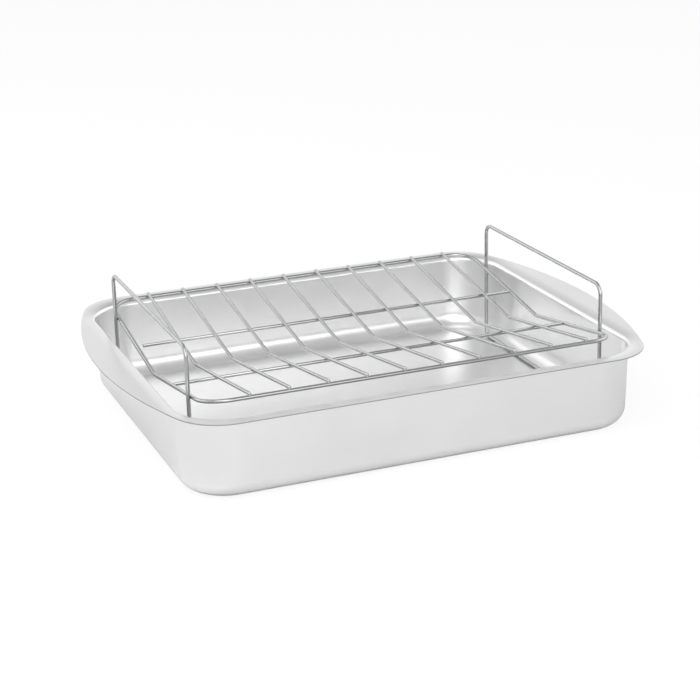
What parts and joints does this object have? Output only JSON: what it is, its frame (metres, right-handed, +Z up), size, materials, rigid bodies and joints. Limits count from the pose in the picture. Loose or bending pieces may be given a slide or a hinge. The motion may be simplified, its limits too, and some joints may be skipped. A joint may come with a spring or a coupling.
{
  "type": "roasting pan with rack",
  "caption": "Rectangular pressed steel roasting pan with end flanges, and a V-shaped welded wire rack with upright handle loops that stands in it and lifts out.",
  "frame": {"origin": "middle of the pan's underside, at the height of the surface it stands on", "axes": "+X along the pan from the left end flange to the right one, +Y across it to the back, +Z up"},
  "size_m": [0.4, 0.308, 0.1006],
  "materials": {
    "pan_steel": "satin stainless steel sheet",
    "rack_wire": "bright plated steel wire"
  },
  "bodies": {
    "pan": {"pan": "pan_steel"},
    "rack": {"rack_frame": "rack_wire", "cross_wire_1": "rack_wire", "cross_wire_2": "rack_wire", "cross_wire_3": "rack_wire", "cross_wire_4": "rack_wire", "cross_wire_5": "rack_wire", "cross_wire_6": "rack_wire", "cross_wire_7": "rack_wire", "cross_wire_8": "rack_wire", "cross_wire_9": "rack_wire", "cross_wire_10": "rack_wire", "front_runner": "rack_wire", "back_runner": "rack_wire", "left_loop": "rack_wire", "right_loop": "rack_wire"}
  },
  "joints": [
    {"name": "rack_lift", "type": "slide", "parent": "pan", "child": "rack", "axis": [0, 0, 1], "range_m": [0, 0.12]}
  ]
}
